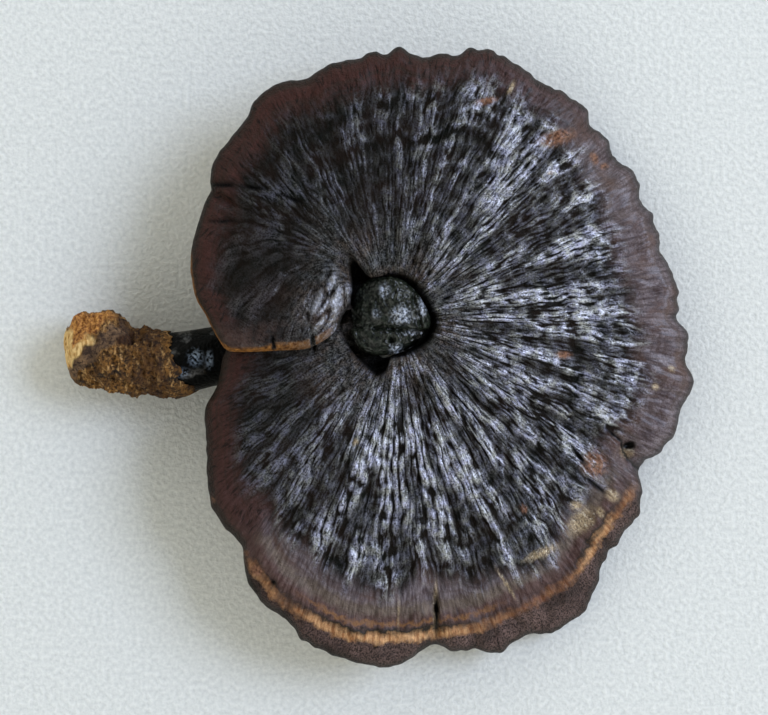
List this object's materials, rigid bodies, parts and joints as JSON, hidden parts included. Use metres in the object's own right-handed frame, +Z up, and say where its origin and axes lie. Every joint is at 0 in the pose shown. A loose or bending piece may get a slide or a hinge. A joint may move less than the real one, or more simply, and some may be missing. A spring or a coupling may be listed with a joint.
{
  "type": "dried reishi mushroom",
  "caption": "Dried reishi mushroom with a wrinkled, lacquered kidney-shaped cap grown round its stem, lying cap up on a table as a natural prop.",
  "frame": {"origin": "under the middle of the mushroom's bounding box, on the surface it lies on", "axes": "+Z up, out of the cap's upper side; -X towards the stem's base; +Y towards the upper lobe of the cap"},
  "size_m": [0.1568, 0.1522, 0.0293],
  "materials": {
    "cap_skin": "dried fungus crust, wrinkled and lacquered black with a purple-brown margin",
    "stem_lacquer": "natural black lacquer crust, glossy",
    "base_earth": "rough brown root and wood, matte and crumbly"
  },
  "bodies": {
    "root": {"cap": "cap_skin", "stem": "stem_lacquer", "base": "base_earth"}
  },
  "joints": []
}
